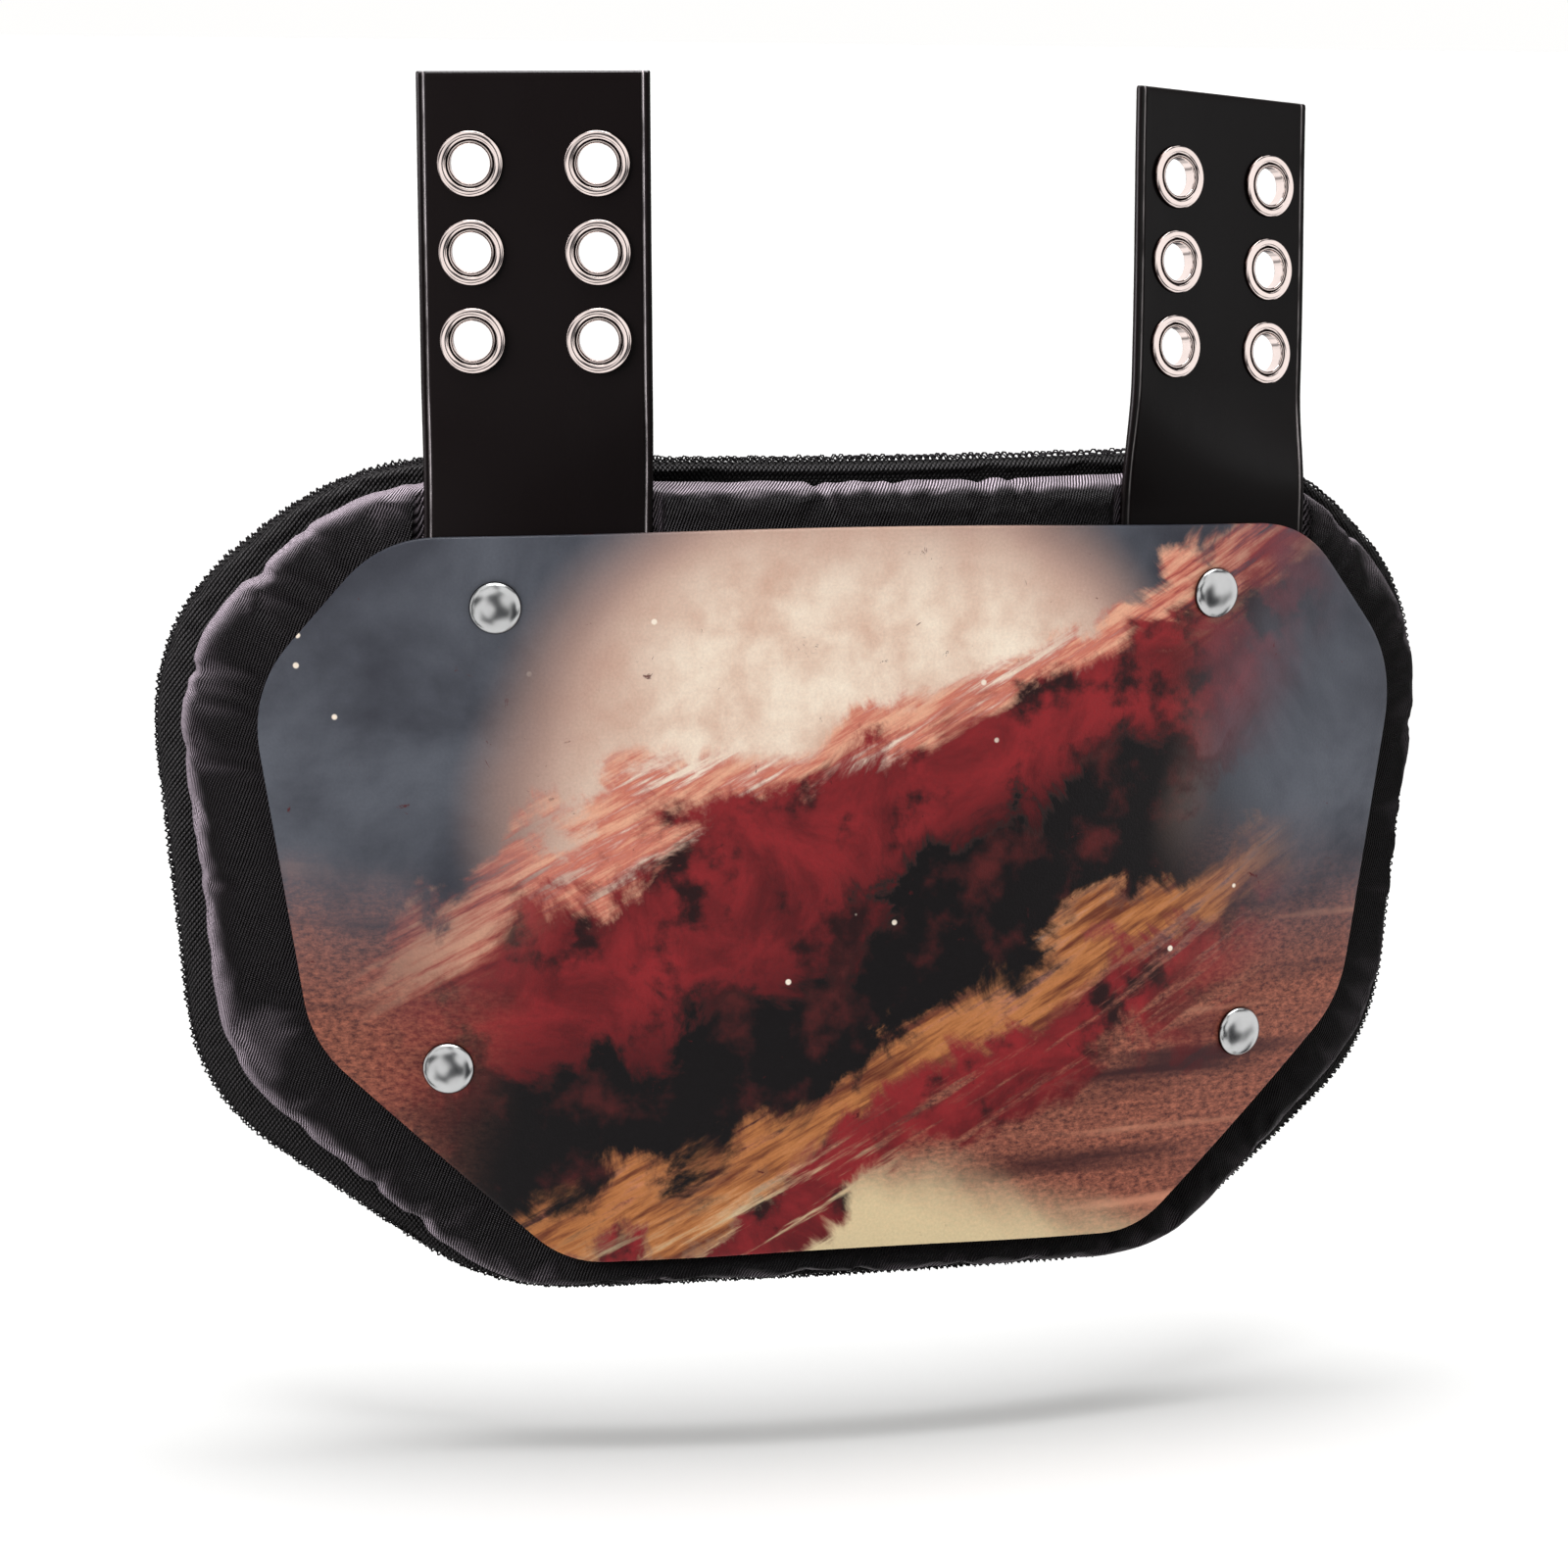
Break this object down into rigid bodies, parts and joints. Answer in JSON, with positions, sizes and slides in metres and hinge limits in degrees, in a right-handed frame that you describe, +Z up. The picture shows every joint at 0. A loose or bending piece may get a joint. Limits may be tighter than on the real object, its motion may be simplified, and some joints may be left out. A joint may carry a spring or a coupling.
{
  "type": "football back plate",
  "caption": "Curved printed plate riveted over a padded back, with two flat straps and eyelets that hang it from shoulder pads.",
  "frame": {"origin": "where the part hangs: midway between the two straps, level with the middle rows of eyelets, 15 mm behind the plate's foremost line", "axes": "+X to the right seen from the decorated face, +Y towards the wearer's back, +Z up"},
  "size_m": [0.3544, 0.0664, 0.3245],
  "materials": {
    "plate": "satin, printed, with a fine grain",
    "nylon": "fine ribbed nylon with a soft sheen",
    "mesh": "open knitted spacer mesh",
    "vinyl": "glossy coated strap",
    "metal": "polished"
  },
  "bodies": {
    "root": {"eyelet_left_1": "metal", "eyelet_left_2": "metal", "eyelet_left_3": "metal", "eyelet_left_4": "metal", "eyelet_left_5": "metal", "eyelet_left_6": "metal", "eyelet_right_1": "metal", "eyelet_right_2": "metal", "eyelet_right_3": "metal", "eyelet_right_4": "metal", "eyelet_right_5": "metal", "eyelet_right_6": "metal", "face_plate": "plate", "front_pad": "nylon", "mesh_pad": "mesh", "rivet_lower_left": "metal", "rivet_lower_right": "metal", "rivet_upper_left": "metal", "rivet_upper_right": "metal", "strap_left": "vinyl", "strap_right": "vinyl"}
  },
  "joints": []
}
